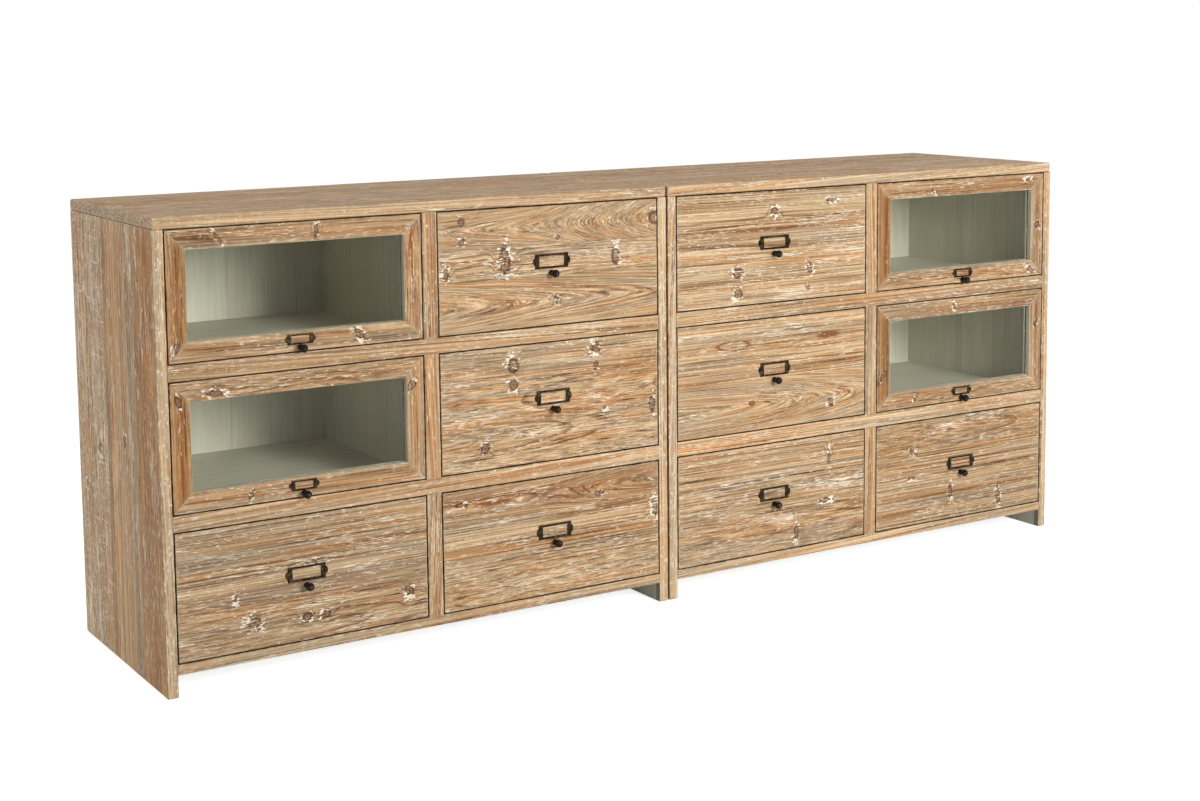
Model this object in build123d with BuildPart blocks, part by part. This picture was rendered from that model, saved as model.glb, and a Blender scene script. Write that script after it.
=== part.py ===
"""Apothecary sideboard: two mirror-image pine units bolted side by side.

Each unit has an inner column of three drawers, and an outer column of two glazed lift-up flaps over a drawer.
Millimetres, +Z up, front towards -Y. The origin is on the floor, in the middle of the whole part.
"""

import os

from build123d import *

# Rows of openings, from the bottom up
row_names = ["bottom_row", "middle_row", "top_row"]

# Case, overall
unit_width = 998
unit_gap = 4
case_height = 802
case_depth = 443
foot_height = 38

# Case, boards
top_thickness = 20
side_thickness = 19
divider_thickness = 29
shelf_thickness = 28
bottom_thickness = 18
back_thickness = 8
top_edge_radius = 4
board_edge_radius = 2

# Case, joints between boards: stopped housings, and a rebate for the back panel
housing_depth = 5
housing_stop = 15
back_rebate = 9

# Bolts that hold the two units together
bolt_radius = 3
bolt_head_radius = 7
bolt_head_thickness = 3
bolt_nut_thickness = 5
bolt_spacer_radius = 10
bolt_clearance = 0.1
bolt_inset = 70
bolt_drop = 25

# Drawers
drawer_gap = 2
drawer_front_thickness = 20
drawer_edge_radius = 2.5
drawer_side_thickness = 12
drawer_back_thickness = 12
drawer_bottom_thickness = 6
drawer_bolt_clearance = 13
drawer_lap = 12
drawer_groove_depth = 6
drawer_groove_height = 12
drawer_running_clearance = 0.3
drawer_rear_clearance = 0.5

# Flaps
flap_gap = 2
flap_thickness = 20
flap_member_width = 34
flap_edge_radius = 2.5
flap_inner_edge_radius = 1
glass_thickness = 3
glass_setback = 12
glass_rebate = 6
glass_clearance = 0.5

# Flap pivots and stops
pivot_radius = 2.5
pivot_setback = 6
pivot_drop = 8
pivot_seat = 9
pivot_reach = 12
pivot_clearance = 0.05
pivot_end_clearance = 0.5
stop_width = 14
stop_depth = 12
stop_height = 25
stop_clearance = 0.3

# Knobs and their screws
knob_base_radius = 5.6
knob_base_height = 6
knob_base_rim = 1.5
knob_neck_radius = 3.2
knob_ball_radius = 7.25
knob_ball_reach = 14.5
knob_dome_angle = 90
screw_radius = 2
screw_head_radius = 4
screw_head_thickness = 2.2
screw_reach = 8
screw_clearance = 0.1

# Label holders: plate, window, pointed side lobes, card pocket behind the window
holder_thickness = 2.4
holder_edge_radius = 0.5
holder_pocket_depth = 1
holder_pocket_lip = 2
drawer_holder_width = 69
drawer_holder_height = 27
drawer_holder_side_bar = 8
drawer_holder_rim = 4
drawer_lobe_height = 15
drawer_lobe_reach = 4.4
drawer_lobe_bulge = 1.2
flap_holder_width = 46
flap_holder_height = 18
flap_holder_side_bar = 6
flap_holder_rim = 3
flap_lobe_height = 11
flap_lobe_reach = 4.6
flap_lobe_bulge = 1

# Nails in the lobes of the label holders
nail_radius = 0.8
nail_head_radius = 1.8
nail_head_height = 0.9
nail_length = 8
nail_inset = 1.5
nail_clearance = 0.1

# Where the hardware sits: on a drawer from the middle of its opening, on a flap from its lower edge
drawer_holder_rise = 8.6
drawer_knob_drop = 13.5
flap_holder_rise = 21
flap_knob_rise = 6

# Worked out from the sizes above
total_width = 2 * unit_width + unit_gap
column_width = (unit_width - 2 * side_thickness - divider_thickness) / 2
top_underside = case_height - top_thickness
bottom_top = foot_height + bottom_thickness
row_height = (top_underside - bottom_top - (len(row_names) - 1) * shelf_thickness) / len(row_names)
row_pitch = row_height + shelf_thickness
drawer_headroom = bolt_drop + bolt_head_radius + drawer_bolt_clearance
knob_reach = knob_ball_reach + knob_ball_radius
case_front = (knob_reach - case_depth) / 2
case_back = case_front + case_depth
board_back = case_back - back_thickness
inner_side_face = unit_width - side_thickness
divider_start = side_thickness + column_width
inner_column_start = divider_start + divider_thickness
housing_front = case_front + housing_stop

# Distance of each unit's columns from its outer face, and each unit's direction from the middle
columns = {"outer": side_thickness, "inner": inner_column_start}
units = {"left": -1, "right": 1}

# Every flap and drawer: its column and its row
flaps = {"upper_flap": ("outer", "top_row"), "lower_flap": ("outer", "middle_row")}
drawers = {
    "outer_drawer": ("outer", "bottom_row"),
    "upper_drawer": ("inner", "top_row"),
    "middle_drawer": ("inner", "middle_row"),
    "lower_drawer": ("inner", "bottom_row"),
}

os.makedirs("parts", exist_ok=True)


def save(node, pieces):
    """Writes one node: a single piece, or a group of separate pieces."""
    shape = pieces[0] if len(pieces) == 1 else Compound(children=pieces)
    shape.label = node
    export_step(shape, f"parts/{node}.step")


def across(unit, start, end):
    """The X span of a unit between two distances from its outer face."""
    return sorted(units[unit] * (total_width / 2 - distance) for distance in (start, end))


def row_floor(row):
    """Height of the board that a row of openings stands on."""
    return bottom_top + row_names.index(row) * row_pitch


def opening(unit, column, row):
    """The X span and the Z span of one opening in the front."""
    start = columns[column]
    return across(unit, start, start + column_width), (row_floor(row), row_floor(row) + row_height)


def inset(span, margin):
    """A span made shorter by a margin at both ends."""
    return span[0] + margin, span[1] - margin


def middle(span):
    return (span[0] + span[1]) / 2


def block(x_span, y_span, z_span, mode=Mode.ADD):
    """A square-cut block between spans of X, Y and Z, in the part that is open."""
    with BuildSketch(Plane.XY.offset(z_span[0])) as section:
        with Locations((middle(x_span), middle(y_span))):
            Rectangle(x_span[1] - x_span[0], y_span[1] - y_span[0])
    extrude(section.sketch, amount=z_span[1] - z_span[0], mode=mode)


def rod(x_span, y, z, radius, mode=Mode.ADD):
    """A round rod along X, in the part that is open."""
    with BuildSketch(Plane.YZ.offset(x_span[0])) as section:
        with Locations((y, z)):
            Circle(radius)
    extrude(section.sketch, amount=x_span[1] - x_span[0], mode=mode)


def face_plane(x, z, depth=0):
    """A plane at a depth behind the front of the case: local Y is up, and extrusions come forward."""
    return Plane(origin=(x, case_front + depth, z), x_dir=(1, 0, 0), z_dir=(0, -1, 0))


def peg(x, z, depth_span, radius, mode=Mode.ADD):
    """A round peg square to the front, between two depths behind it, in the part that is open."""
    with BuildSketch(face_plane(x, z, depth_span[1])) as section:
        Circle(radius)
    extrude(section.sketch, amount=depth_span[1] - depth_span[0], mode=mode)


# Case boards


def board_levels():
    """The Z spans of the boards that the sides carry: the bottom board, then the shelves."""
    levels = [(foot_height, bottom_top)]
    for row in row_names[1:]:
        levels.append((row_floor(row) - shelf_thickness, row_floor(row)))
    return levels


def pivot_place(row):
    """Y and Z of the pivot axis of the flap in a row."""
    return case_front + pivot_setback, row_floor(row) + row_height - flap_gap - pivot_drop


def bolt_places():
    """Y and Z of each bolt: two below the bottom board and two above the top drawers."""
    depths = (case_front + bolt_inset, board_back - bolt_inset)
    heights = (foot_height / 2, top_underside - bolt_drop)
    return [(y, z) for y in depths for z in heights]


def side_board(unit, face, away):
    """A side from the floor to the top, with its inner face at a distance from the unit's outer face."""
    with BuildPart() as side:
        block(across(unit, face, face + away * side_thickness), (case_front, case_back), (0, top_underside))
        fillet(side.edges().filter_by(Axis.Z).group_by(Axis.Y)[0], board_edge_radius)
        housing = across(unit, face, face + away * housing_depth)
        for level in board_levels():
            block(housing, (housing_front, board_back), level, Mode.SUBTRACT)
        rebate = across(unit, face, face + away * back_rebate)
        block(rebate, (board_back, case_back), (foot_height, top_underside), Mode.SUBTRACT)
        if away > 0:
            for y, z in bolt_places():
                bore = across(unit, face, unit_width)
                rod(bore, y, z, bolt_radius + bolt_clearance, Mode.SUBTRACT)
        else:
            for _, row in flaps.values():
                bore = across(unit, face, face - pivot_seat)
                rod(bore, *pivot_place(row), pivot_radius, Mode.SUBTRACT)
    return side.part


def divider_housing(unit, z_span):
    """Cuts the stopped housing of a divider into the board that is open."""
    span = across(unit, divider_start, inner_column_start)
    block(span, (housing_front, board_back), z_span, Mode.SUBTRACT)


def shelf_board(unit, level):
    """A board between the sides: its ends are tongues in the sides, stopped short of the front."""
    low, high = level
    with BuildPart() as shelf:
        block(across(unit, side_thickness, inner_side_face), (case_front, board_back), level)
        fillet(shelf.edges().filter_by(Axis.X).group_by(Axis.Y)[0], board_edge_radius)
        tongues = across(unit, side_thickness - housing_depth, inner_side_face + housing_depth)
        block(tongues, (housing_front, board_back), level)
        divider_housing(unit, (high - housing_depth, high))
        if low > foot_height:
            divider_housing(unit, (low, low + housing_depth))
    return shelf.part


def top_board(unit):
    """The top, over the ends of the sides, with its upper edges and front corners rounded."""
    with BuildPart() as top:
        block(across(unit, 0, unit_width), (case_front, case_back), (top_underside, case_height))
        fillet(top.edges().filter_by(Axis.Z).group_by(Axis.Y)[0], top_edge_radius)
        fillet(top.faces().sort_by(Axis.Z)[-1].edges(), top_edge_radius)
        divider_housing(unit, (top_underside, top_underside + housing_depth))
    return top.part


def divider(unit, row):
    """A short upright between two boards, tongued into both."""
    span = across(unit, divider_start, inner_column_start)
    low, high = row_floor(row), row_floor(row) + row_height
    with BuildPart() as upright:
        block(span, (case_front, board_back), (low, high))
        fillet(upright.edges().filter_by(Axis.Z).group_by(Axis.Y)[0], board_edge_radius)
        block(span, (housing_front, board_back), inset((low, high), -housing_depth))
        if ("outer", row) in flaps.values():
            bore = across(unit, divider_start, divider_start + pivot_seat)
            rod(bore, *pivot_place(row), pivot_radius, Mode.SUBTRACT)
    return upright.part


def back_panel(unit):
    """A painted panel in the rebates of the sides, behind the shelves and under the top."""
    with BuildPart() as panel:
        span = across(unit, side_thickness - back_rebate, inner_side_face + back_rebate)
        block(span, (board_back, case_back), (foot_height, top_underside))
    return panel.part


def unit_bolts():
    """Bolts through both inner sides, each with a nut, and a spacer that fills the slit between the units."""
    slit = (-unit_gap / 2, unit_gap / 2)
    faces = inset(slit, -side_thickness)
    bore_radius = bolt_radius + bolt_clearance
    pieces = []
    for y, z in bolt_places():
        with BuildPart() as bolt:
            rod((faces[0] - bolt_head_thickness, faces[0]), y, z, bolt_head_radius)
            rod((faces[0], faces[1] + bolt_nut_thickness), y, z, bolt_radius)
        with BuildPart() as nut:
            nut_span = (faces[1], faces[1] + bolt_nut_thickness)
            rod(nut_span, y, z, bolt_head_radius)
            rod(nut_span, y, z, bore_radius, Mode.SUBTRACT)
        with BuildPart() as spacer:
            rod(slit, y, z, bolt_spacer_radius)
            rod(slit, y, z, bore_radius, Mode.SUBTRACT)
        pieces += [bolt.part, nut.part, spacer.part]
    return pieces


for unit in units:
    save(f"{unit}_top", [top_board(unit)])
    save(f"{unit}_sides", [side_board(unit, side_thickness, -1), side_board(unit, inner_side_face, 1)])
    save(f"{unit}_shelves", [shelf_board(unit, level) for level in board_levels()])
    save(f"{unit}_dividers", [divider(unit, row) for row in row_names])
save("back_panels", [back_panel(unit) for unit in units])
save("unit_bolts", unit_bolts())

# Knobs and label holders


def knob(x, z, plate_thickness):
    """A ball knob on a domed base, and the screw that holds it through the wood from behind."""
    axis = Axis((x, case_front, z), (0, -1, 0))
    ball_start = knob_ball_reach - (knob_ball_radius**2 - knob_neck_radius**2) ** 0.5
    with BuildPart() as turned:
        with BuildSketch(Plane(origin=(x, case_front, z), x_dir=(0, -1, 0), z_dir=(1, 0, 0))):
            with BuildLine():
                rim = Polyline((0, 0), (0, knob_base_radius), (knob_base_rim, knob_base_radius))
                EllipticalCenterArc(
                    (knob_base_rim, knob_neck_radius),
                    knob_base_height - knob_base_rim,
                    knob_base_radius - knob_neck_radius,
                    arc_size=knob_dome_angle,
                )
                neck = Line((knob_base_height, knob_neck_radius), (ball_start, knob_neck_radius))
                ball = ThreePointArc(
                    neck @ 1,
                    (knob_ball_reach, knob_ball_radius),
                    (knob_reach, 0),
                )
                Line(ball @ 1, rim @ 0)
            make_face()
        revolve(axis=axis)
        peg(x, z, (-screw_reach, 0), screw_radius + screw_clearance, Mode.SUBTRACT)
    with BuildPart() as screw:
        peg(x, z, (-screw_reach, plate_thickness), screw_radius)
        peg(x, z, (plate_thickness, plate_thickness + screw_head_thickness), screw_head_radius)
    return [turned.part, screw.part]


def nail_offsets(width):
    """The nails' places to either side of the middle of a label holder of this width."""
    return (nail_inset - width / 2, width / 2 - nail_inset)


def label_holder(x, z, width, height, side_bar, rim, lobe_height, lobe_reach, lobe_bulge):
    """A card frame with a pointed lobe at each end, a pocket open at the top, and two nails."""
    with BuildPart() as frame:
        with BuildSketch(face_plane(x, z)):
            Rectangle(width, height)
            for side in (-1, 1):
                tip = (side * (width / 2 + lobe_reach), 0)
                upper = (side * width / 2, lobe_height / 2)
                lower = (side * width / 2, -lobe_height / 2)
                with BuildLine():
                    SagittaArc(upper, tip, side * lobe_bulge)
                    SagittaArc(tip, lower, side * lobe_bulge)
                    Line(lower, upper)
                make_face()
            Rectangle(width - 2 * side_bar, height - 2 * rim, mode=Mode.SUBTRACT)
        extrude(amount=holder_thickness)
        with BuildSketch(face_plane(x, z)):
            pocket_width = width - 2 * side_bar + 2 * holder_pocket_lip
            pocket_low = rim - holder_pocket_lip - height / 2
            with Locations((0, (pocket_low + height / 2) / 2)):
                Rectangle(pocket_width, height / 2 - pocket_low)
        extrude(amount=holder_pocket_depth, mode=Mode.SUBTRACT)
        chamfer(frame.faces().sort_by(Axis.Y)[0].edges(), holder_edge_radius)
        for offset in nail_offsets(width):
            peg(x + offset, z, (-holder_thickness, 0), nail_radius + nail_clearance, Mode.SUBTRACT)
    pieces = [frame.part]
    for offset in nail_offsets(width):
        with BuildPart() as nail:
            peg(x + offset, z, (-holder_thickness, nail_length), nail_radius)
            peg(x + offset, z, (-holder_thickness - nail_head_height, -holder_thickness), nail_head_radius)
            fillet(nail.edges().group_by(Axis.Y)[0], nail_head_height / 2)
        pieces.append(nail.part)
    return pieces


def hardware_holes(x, holder_z, holder_width, knob_z, plate_thickness):
    """Bores the holes for a knob's screw and a label holder's nails into the piece that is open."""
    peg(x, knob_z, (0, plate_thickness), screw_radius + screw_clearance, Mode.SUBTRACT)
    for offset in nail_offsets(holder_width):
        peg(x + offset, holder_z, (0, nail_length), nail_radius + nail_clearance, Mode.SUBTRACT)


# Drawers


def drawer(body, unit, column, row):
    """An inset drawer: a front lapped over two sides, with a back and a bottom held in grooves."""
    x_span, z_span = opening(unit, column, row)
    width = inset(x_span, drawer_gap)
    box_low = z_span[0] + drawer_running_clearance
    box_high = z_span[1] - drawer_headroom
    front_back = case_front + drawer_front_thickness
    box_start = front_back - drawer_lap
    box_end = board_back - drawer_rear_clearance
    cavity = inset(width, drawer_side_thickness)
    grooves = inset(cavity, -drawer_groove_depth)
    groove = (box_low + drawer_groove_height, box_low + drawer_groove_height + drawer_bottom_thickness)
    bottom_span = (front_back - drawer_groove_depth, box_end)
    side_spans = ((width[0], cavity[0]), (cavity[1], width[1]))
    groove_spans = ((grooves[0], cavity[0]), (cavity[1], grooves[1]))
    holder_z = middle(z_span) + drawer_holder_rise
    knob_z = middle(z_span) - drawer_knob_drop

    with BuildPart() as front:
        block(width, (case_front, front_back), inset(z_span, drawer_gap))
        fillet(front.edges().filter_by(Axis.Y), drawer_edge_radius)
        fillet(front.faces().sort_by(Axis.Y)[0].edges(), drawer_edge_radius)
        for side_span in side_spans:
            block(side_span, (box_start, front_back), (box_low, box_high), Mode.SUBTRACT)
        block(grooves, (bottom_span[0], front_back), groove, Mode.SUBTRACT)
        hardware_holes(middle(width), holder_z, drawer_holder_width, knob_z, drawer_front_thickness)

    box = []
    for side_span, groove_span in zip(side_spans, groove_spans):
        with BuildPart() as side:
            block(side_span, (box_start, box_end), (box_low, box_high))
            block(groove_span, (box_start, box_end), groove, Mode.SUBTRACT)
        box.append(side.part)
    with BuildPart() as back:
        block(cavity, (box_end - drawer_back_thickness, box_end), (groove[1], box_high))
    with BuildPart() as bottom:
        block(grooves, bottom_span, groove)
    box += [back.part, bottom.part]

    save(f"{body}_front", [front.part])
    save(f"{body}_box", box)
    save(f"{body}_knob", knob(middle(width), knob_z, drawer_front_thickness))
    holder = label_holder(
        middle(width),
        holder_z,
        drawer_holder_width,
        drawer_holder_height,
        drawer_holder_side_bar,
        drawer_holder_rim,
        drawer_lobe_height,
        drawer_lobe_reach,
        drawer_lobe_bulge,
    )
    save(f"{body}_label_holder", holder)


# Flaps


def mitred_outlines(x_span, z_span, member_width):
    """The corners of each member of a mitred frame, counted round from the lower member."""
    rings = []
    for margin in (0, member_width):
        (left, right), (low, high) = inset(x_span, margin), inset(z_span, margin)
        rings.append([(left, low), (right, low), (right, high), (left, high)])
    outer, inner = rings
    return list(zip(outer, outer[1:] + outer[:1], inner[1:] + inner[:1], inner))


def mitred_member(outline, depth_span):
    """One member of a mitred frame, between two depths behind the front, in the part that is open."""
    with BuildSketch(face_plane(0, 0, depth_span[1])) as section:
        with BuildLine():
            Polyline(*outline, close=True)
        make_face()
    extrude(section.sketch, amount=depth_span[1] - depth_span[0])


def flap(body, unit, column, row):
    """A glazed frame of four mitred members that swings out and up on pins in its upper corners."""
    x_span, z_span = (inset(span, flap_gap) for span in opening(unit, column, row))
    pane_x, pane_z = (inset(span, flap_member_width - glass_rebate) for span in (x_span, z_span))
    rebate_span = (case_front + glass_setback, case_front + flap_thickness)
    glass_back = glass_setback + glass_thickness
    bore = pivot_reach + pivot_end_clearance
    bores = ((x_span[0], x_span[0] + bore), (x_span[1] - bore, x_span[1]))
    holder_z = z_span[0] + flap_holder_rise
    knob_z = z_span[0] + flap_knob_rise

    frame = []
    for outline in mitred_outlines(x_span, z_span, flap_member_width):
        with BuildPart() as member:
            mitred_member(outline, (0, flap_thickness))
            front_edges = member.faces().sort_by(Axis.Y)[0].edges().sort_by(SortBy.LENGTH)
            fillet(front_edges[-1], flap_edge_radius)
            front_edges = member.faces().sort_by(Axis.Y)[0].edges().sort_by(SortBy.LENGTH)
            fillet(front_edges[-2], flap_inner_edge_radius)
            block(pane_x, rebate_span, pane_z, Mode.SUBTRACT)
            for bore_span in bores:
                rod(bore_span, *pivot_place(row), pivot_radius + pivot_clearance, Mode.SUBTRACT)
            hardware_holes(middle(x_span), holder_z, flap_holder_width, knob_z, flap_thickness)
        frame.append(member.part)
    for outline in mitred_outlines(pane_x, pane_z, glass_rebate):
        with BuildPart() as bead:
            mitred_member(outline, (glass_back, flap_thickness))
        frame.append(bead.part)
    with BuildPart() as glass:
        depth = (case_front + glass_setback, case_front + glass_back)
        block(inset(pane_x, glass_clearance), depth, inset(pane_z, glass_clearance))

    save(f"{body}_frame", frame)
    save(f"{body}_glass", [glass.part])
    save(f"{body}_knob", knob(middle(x_span), knob_z, flap_thickness))
    holder = label_holder(
        middle(x_span),
        holder_z,
        flap_holder_width,
        flap_holder_height,
        flap_holder_side_bar,
        flap_holder_rim,
        flap_lobe_height,
        flap_lobe_reach,
        flap_lobe_bulge,
    )
    save(f"{body}_label_holder", holder)


def flap_pivots(unit, column, row):
    """The two pins of one flap, from their seats in the case into the flap's upper corners."""
    x_span, _ = opening(unit, column, row)
    pins = []
    for end, inward in zip(x_span, (1, -1)):
        with BuildPart() as pin:
            reach = (end - inward * pivot_seat, end + inward * (flap_gap + pivot_reach))
            rod(sorted(reach), *pivot_place(row), pivot_radius)
        pins.append(pin.part)
    return pins


def flap_stops(unit, column, row):
    """The two blocks that one flap closes against, in the lower corners of its opening."""
    x_span, z_span = opening(unit, column, row)
    start = case_front + flap_thickness + stop_clearance
    stops = []
    for end, inward in zip(x_span, (1, -1)):
        with BuildPart() as stop:
            width = sorted((end, end + inward * stop_width))
            block(width, (start, start + stop_depth), (z_span[0], z_span[0] + stop_height))
        stops.append(stop.part)
    return stops


pivots, stops = [], []
for unit in units:
    for name, (column, row) in drawers.items():
        drawer(f"{unit}_{name}", unit, column, row)
    for name, (column, row) in flaps.items():
        flap(f"{unit}_{name}", unit, column, row)
        pivots += flap_pivots(unit, column, row)
        stops += flap_stops(unit, column, row)
save("flap_pivots", pivots)
save("flap_stops", stops)
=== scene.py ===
"""Apothecary sideboard in limed pine: boards, drawers, glazed flaps, bronze fittings, camera and light."""

import math

import bpy
import numpy as np
from mathutils import Matrix, Vector


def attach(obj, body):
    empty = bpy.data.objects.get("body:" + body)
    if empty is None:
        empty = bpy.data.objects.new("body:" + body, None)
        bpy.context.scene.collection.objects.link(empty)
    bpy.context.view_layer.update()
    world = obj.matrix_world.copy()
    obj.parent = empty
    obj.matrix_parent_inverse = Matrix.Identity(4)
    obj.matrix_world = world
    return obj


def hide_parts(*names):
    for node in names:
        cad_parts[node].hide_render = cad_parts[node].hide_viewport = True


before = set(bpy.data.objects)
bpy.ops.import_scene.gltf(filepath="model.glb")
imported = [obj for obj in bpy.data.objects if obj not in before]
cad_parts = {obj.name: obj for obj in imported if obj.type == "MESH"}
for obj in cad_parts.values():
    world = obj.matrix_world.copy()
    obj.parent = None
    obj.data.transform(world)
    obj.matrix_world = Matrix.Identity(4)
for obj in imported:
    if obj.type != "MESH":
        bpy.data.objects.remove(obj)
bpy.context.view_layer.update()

# Sizes of the case, in metres
UNIT_WIDTH = 0.998
HALF_WIDTH = 1.0
CASE_FRONT = -0.210625
CASE_BACK = 0.232375
BOARD_BACK = 0.224375
CASE_HEIGHT = 0.802
TOP_UNDERSIDE = 0.782
FOOT = 0.038
BOTTOM_TOP = 0.056
SIDE = 0.019
DIVIDER = 0.029
SHELF = 0.028
COLUMN = 0.4655
ROW_HEIGHT = 0.670 / 3
ROW_PITCH = ROW_HEIGHT + SHELF
REBATE = 0.009

# Sizes of drawers and flaps
GAP = 0.002
FRONT_THICKNESS = 0.020
BOX_SIDE = 0.012
BOX_BOTTOM = (0.0123, 0.0183)
BOX_CLEARANCE = 0.0003
BOX_HEADROOM = 0.045
BOX_END = BOARD_BACK - 0.0005
MEMBER = 0.034
GLASS_SETBACK = 0.012
GLASS_BACK = 0.015
GLASS_REBATE = 0.006

# Rounding of the edges
TOP_ROUNDING = 0.0045
SIDE_ROUNDING = 0.0022
SHELF_ROUNDING = 0.002
BACK_ROUNDING = 0.0008
FRONT_ROUNDING = 0.0025
BOX_ROUNDING = 0.001
BOTTOM_ROUNDING = 0.0005
MEMBER_ROUNDING = 0.0018
LIP_ROUNDING = 0.0008
BEAD_ROUNDING = 0.0006

# Layout
UNITS = {"left": -1, "right": 1}
COLUMNS = {"outer": SIDE, "inner": SIDE + COLUMN + DIVIDER}
DRAWERS = {
    "outer_drawer": ("outer", 0),
    "upper_drawer": ("inner", 2),
    "middle_drawer": ("inner", 1),
    "lower_drawer": ("inner", 0),
}
FLAPS = {"upper_flap": ("outer", 2), "lower_flap": ("outer", 1)}

# Axes, and the numbers of the sides of a board that face the front, down and up
X, Y, Z = 0, 1, 2
FRONT, UNDER, UPPER = 2 * Y, 2 * Z, 2 * Z + 1


def across(unit, start, end):
    """The X span of a unit between two distances from its outer face."""
    return tuple(sorted(UNITS[unit] * (HALF_WIDTH - distance) for distance in (start, end)))


def opening(unit, column, row):
    """The X span and the Z span of one opening in the front."""
    start = COLUMNS[column]
    floor = BOTTOM_TOP + row * ROW_PITCH
    return across(unit, start, start + COLUMN), (floor, floor + ROW_HEIGHT)


def inset(span, margin):
    """A span drawn in by a margin at both ends."""
    return span[0] + margin, span[1] - margin


# Boards

STEP = 0.035
END_SPAN = 1.6
JOINT_ROWS = (-0.0009, 0, 0.0009)
TIP_ROWS = (-0.010, -0.005, -0.002, 0.0, 0.002, 0.005, 0.010)
WEAR_WAVE = 0.09
WORN_SHARE = 0.8
EDGE_FADE = 0.003
JOINT_FADE = 0.0008
BUTT_FADE = 0.002
FRONT_FADE = 0.003
# Painted shade standing for the shadow in the gaps behind front edges: its fade in depth, how near a place
# must be to its one face, and none at all
GAP_SHADE_FADE = 0.002
ON_FACE = 0.0001
NO_GAP_SHADE = (0.0, 1.0, None)
MITRE_OPENING = 0.00015
FAR_FROM_KNOTS = 99.0

# Chevrons of a flamed plank: their round tip, length of turn, spread, and place in the grain
FLAME_TIP = 0.004
FLAME_TURN = 0.06
FLAME_SPREAD = 0.35
FLAME_CURVE = 0.05
FLAME_DEPTH = 0.4
FLAME_PITCH = 0.05
FLAME_FIBRES = 0.3


def ticks(low, high, rounding, step, seams=(), limits=()):
    """Lattice places along one side of a board.

    They are close in the rounded ends and even between, with three at each seam and one at each limit.
    """
    turn = np.linspace(0, np.pi / 2, 5)
    end = np.append(rounding * (1 - np.cos(turn)), END_SPAN * rounding)
    count = max(2, int(round((high - low) / step)) + 1)
    even = np.linspace(low + END_SPAN * rounding, high - END_SPAN * rounding, count)
    cuts = np.array([seam + shift for seam in seams for shift in JOINT_ROWS])
    marks = np.array([limit for limit in limits if low + rounding < limit < high - rounding])
    return np.unique(np.round(np.concatenate([low + end, even, high - end, cuts, marks]), 7))


def skin(places):
    """The six sides of a lattice as quads of lattice indices, with the number of the side that each is on."""
    counts = [len(p) for p in places]
    corners, sides = [], []
    for axis in range(3):
        first, second = (axis + 1) % 3, (axis + 2) % 3
        i, j = np.meshgrid(np.arange(counts[first] - 1), np.arange(counts[second] - 1), indexing="ij")
        for end in (0, 1):
            turn = [(0, 0), (1, 0), (1, 1), (0, 1)] if end else [(0, 0), (0, 1), (1, 1), (1, 0)]
            quad = np.zeros(i.shape + (4, 3), int)
            quad[..., axis] = end * (counts[axis] - 1)
            quad[..., first] = i[..., None] + np.array([t[0] for t in turn])
            quad[..., second] = j[..., None] + np.array([t[1] for t in turn])
            corners.append(quad.reshape(-1, 4, 3))
            sides.append(np.full(i.size, 2 * axis + end))
    corners = np.concatenate(corners)
    number = (corners[..., 0] * counts[1] + corners[..., 1]) * counts[2] + corners[..., 2]
    used, quads = np.unique(number, return_inverse=True)
    index = np.stack(np.unravel_index(used, counts), 1)
    return index, quads.reshape(-1, 4), np.concatenate(sides)


def ripple(points, seed, wave):
    """Smooth unevenness from -1 to 1: the mean of five sine waves of fixed random directions and phases."""
    rng = np.random.default_rng(seed)
    waves = 5
    total = np.zeros(len(points))
    for _ in range(waves):
        direction = rng.normal(size=3)
        direction /= np.linalg.norm(direction)
        length = wave * (0.5 + 1.2 * rng.random())
        total += np.sin(points @ direction * 2 * np.pi / length + rng.random() * 2 * np.pi)
    return total / waves


def scattered(rng, long, wide):
    """Knots at random over a board, about five to a square metre, each a little longer than high."""
    count = rng.poisson(5 * long * wide)
    sizes = rng.uniform(0.004, 0.008, count)
    return [(a, b, 1.3 * size, size) for a, b, size in zip(rng.random(count), rng.random(count), sizes)]


def worn_places(square, low, high, rounding, seed, wear, soft):
    """Lattice places drawn in at the edges along the soft axes.

    A place is drawn towards the nearest place at least a radius inside the block, until it is a radius away
    from it. The radius is a share of the rounding and varies smoothly along the edges.
    """
    radius = rounding * (1 + wear * ripple(square, seed, WEAR_WAVE)) * WORN_SHARE
    inner = square.copy()
    for axis in soft:
        inner[:, axis] = np.clip(square[:, axis], low[axis] + radius, high[axis] - radius)
    away = square - inner
    reach = np.linalg.norm(away, axis=1)
    return inner + away * np.minimum(1, radius / np.maximum(reach, 1e-9))[:, None]


def wear_and_gap_shade_marks(square, low, high, along, wide, cuts, pale, gap_shade):
    """How much each place is rubbed, dark and end grain.

    Rubbing fades away from the edges. Dark is up to 1 in a joint, and 1 plus the share of painted shade
    where painted shade stands for the shadow in the gaps. End grain fades along the board. The painted shade
    starts behind the front edge.
    """
    margins = np.minimum(square - low, high - square)
    edge = np.exp(-np.sort(margins, axis=1)[:, 1] / EDGE_FADE)
    gap = np.abs(square[:, wide, None] - np.array(cuts)[None, :]).min(1) if cuts else np.ones(len(square))
    dark = np.clip(1 - gap / JOINT_FADE, 0, 1)
    butt = np.clip(1 - margins[:, along] / BUTT_FADE, 0, 1)
    # Painted shade behind the front edge, standing for the shadow in the gaps
    share, depth, side = gap_shade
    behind = np.clip((square[:, Y] - low[Y]) / FRONT_FADE, 0, 1)
    gap_shade_share = share * behind * (square[:, Y] < low[Y] + depth + GAP_SHADE_FADE / 2)
    if side is not None:
        face = (low, high)[side % 2][side // 2]
        gap_shade_share = gap_shade_share * (np.abs(square[:, side // 2] - face) < ON_FACE)
    edge = np.where(behind == 0, np.maximum(edge, pale), edge * (1 - gap_shade_share))
    dark = np.where(gap_shade_share > 0, 1 + gap_shade_share, dark)
    return np.stack([edge, dark, butt], 1)


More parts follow.
